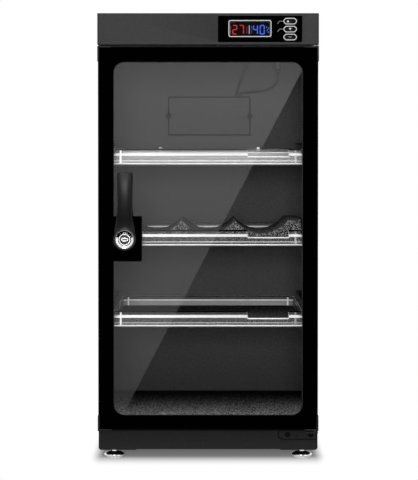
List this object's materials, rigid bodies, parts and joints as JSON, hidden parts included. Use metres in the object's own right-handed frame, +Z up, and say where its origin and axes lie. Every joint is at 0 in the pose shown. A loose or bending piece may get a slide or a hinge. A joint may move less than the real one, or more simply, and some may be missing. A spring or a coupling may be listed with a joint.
{
  "type": "camera dry cabinet",
  "caption": "Free-standing steel dry cabinet with a glazed lockable door, humidity display, sliding clear trays, foam inserts, rear dehumidifier and levelling feet.",
  "frame": {"origin": "on the floor, under the middle of the object's bounding box", "axes": "+Z up; the door faces -Y; +X to the right of someone who faces the door, where the hinges are"},
  "size_m": [0.34, 0.374, 0.69],
  "materials": {
    "body_paint": "satin, fine texture",
    "liner_paint": "satin",
    "plinth_paint": "satin",
    "header_paint": "satin",
    "panel_gloss": "gloss",
    "display_tint": "gloss, tinted clear",
    "display_case": "matte",
    "circuit_board": "satin solder mask",
    "inlet_plastic": "matte",
    "bracket_steel": "satin",
    "dark_screw": "black oxide",
    "bright_screw": "polished",
    "rail_paint": "satin",
    "core_metal": "satin",
    "lead_rubber": "matte",
    "connector_plastic": "matte",
    "sensor_plastic": "matte",
    "floor_foam": "open-cell foam, matte",
    "door_pane": "clear",
    "border_ink": "gloss print",
    "frame_aluminium": "satin",
    "cap_plastic": "satin",
    "gasket_rubber": "matte",
    "bush_plastic": "natural nylon",
    "lock_paint": "satin",
    "zinc_steel": "zinc plated",
    "lever_paint": "satin",
    "lock_chrome": "polished",
    "plug_metal": "satin",
    "button_plastic": "satin",
    "clear_tray": "clear, polished",
    "tray_foam": "open-cell foam, matte",
    "foot_chrome": "polished, with a dark pad"
  },
  "bodies": {
    "cabinet": {"left_side_panel": "body_paint", "right_side_panel": "body_paint", "top_panel": "body_paint", "back_panel": "liner_paint", "base_plinth": "plinth_paint", "floor_panel": "body_paint", "ceiling_panel": "body_paint", "front_header": "header_paint", "control_panel": "panel_gloss", "display_lens": "display_tint", "display_module": "display_case", "control_board": "circuit_board", "power_board": "circuit_board", "power_inlet": "inlet_plastic", "upper_hinge_bracket": "bracket_steel", "lower_hinge_bracket": "bracket_steel", "hinge_screws": "dark_screw", "upper_tray_rails": "rail_paint", "middle_tray_rails": "rail_paint", "lower_tray_rails": "rail_paint", "dehumidifier_cover": "liner_paint", "cover_screws": "dark_screw", "dehumidifier_core": "core_metal", "dehumidifier_housing": "body_paint", "housing_screws": "bright_screw", "dehumidifier_leads": "lead_rubber", "lead_connector": "connector_plastic", "humidity_sensor": "sensor_plastic", "floor_mat": "floor_foam", "foot_plates": "body_paint"},
    "door": {"door_glass": "door_pane", "glass_border": "border_ink", "door_top_rail": "frame_aluminium", "door_bottom_rail": "frame_aluminium", "door_left_stile": "frame_aluminium", "door_right_stile": "frame_aluminium", "left_corner_caps": "cap_plastic", "right_corner_caps": "cap_plastic", "door_gasket": "gasket_rubber", "hinge_bushes": "bush_plastic", "lock_body": "lock_paint", "lock_nut": "zinc_steel"},
    "handle": {"handle_lever": "lever_paint", "lock_ring": "lock_chrome", "latch_cam": "zinc_steel", "cam_nut": "zinc_steel"},
    "key": {"key_plug": "plug_metal"},
    "up_key": {"up_button": "button_plastic"},
    "down_key": {"down_button": "button_plastic"},
    "set_key": {"set_button": "button_plastic"},
    "upper_drawer": {"upper_tray": "clear_tray", "upper_tray_mat": "tray_foam"},
    "middle_drawer": {"middle_tray": "clear_tray", "lens_cradle": "tray_foam"},
    "lower_drawer": {"lower_tray": "clear_tray", "lower_tray_mat": "tray_foam"},
    "front_left_leveller": {"front_left_foot": "foot_chrome"},
    "front_right_leveller": {"front_right_foot": "foot_chrome"},
    "rear_left_leveller": {"rear_left_foot": "foot_chrome"},
    "rear_right_leveller": {"rear_right_foot": "foot_chrome"}
  },
  "joints": [
    {"name": "door_swing", "type": "hinge", "parent": "cabinet", "child": "door", "pos_m": [0.1645, -0.1523, 0.34375], "axis": [0, 0, 1], "range_deg": [0, 120]},
    {"name": "handle_turn", "type": "hinge", "parent": "door", "child": "handle", "pos_m": [-0.1277, -0.163, 0.3435], "axis": [0, 1, 0], "range_deg": [0, 90]},
    {"name": "key_turn", "type": "hinge", "parent": "handle", "child": "key", "pos_m": [-0.1277, -0.163, 0.3435], "axis": [0, 1, 0], "range_deg": [0, 90]},
    {"name": "up_press", "type": "slide", "parent": "cabinet", "child": "up_key", "axis": [0, 1, 0], "range_m": [0, 0.0006], "stiffness_N_per_m": 2000},
    {"name": "down_press", "type": "slide", "parent": "cabinet", "child": "down_key", "axis": [0, 1, 0], "range_m": [0, 0.0006], "stiffness_N_per_m": 2000},
    {"name": "set_press", "type": "slide", "parent": "cabinet", "child": "set_key", "axis": [0, 1, 0], "range_m": [0, 0.0006], "stiffness_N_per_m": 2000},
    {"name": "upper_tray_slide", "type": "slide", "parent": "cabinet", "child": "upper_drawer", "axis": [0, -1, 0], "range_m": [0, 0.01]},
    {"name": "middle_tray_slide", "type": "slide", "parent": "cabinet", "child": "middle_drawer", "axis": [0, -1, 0], "range_m": [0, 0.004]},
    {"name": "lower_tray_slide", "type": "slide", "parent": "cabinet", "child": "lower_drawer", "axis": [0, -1, 0], "range_m": [0, 0.01]},
    {"name": "front_left_foot_turn", "type": "hinge", "parent": "cabinet", "child": "front_left_leveller", "pos_m": [-0.146, -0.124, 0.0145], "axis": [0, 0, 1], "continuous": true},
    {"name": "front_right_foot_turn", "type": "hinge", "parent": "cabinet", "child": "front_right_leveller", "pos_m": [0.146, -0.124, 0.0145], "axis": [0, 0, 1], "continuous": true},
    {"name": "rear_left_foot_turn", "type": "hinge", "parent": "cabinet", "child": "rear_left_leveller", "pos_m": [-0.146, 0.133, 0.0145], "axis": [0, 0, 1], "continuous": true},
    {"name": "rear_right_foot_turn", "type": "hinge", "parent": "cabinet", "child": "rear_right_leveller", "pos_m": [0.146, 0.133, 0.0145], "axis": [0, 0, 1], "continuous": true}
  ]
}
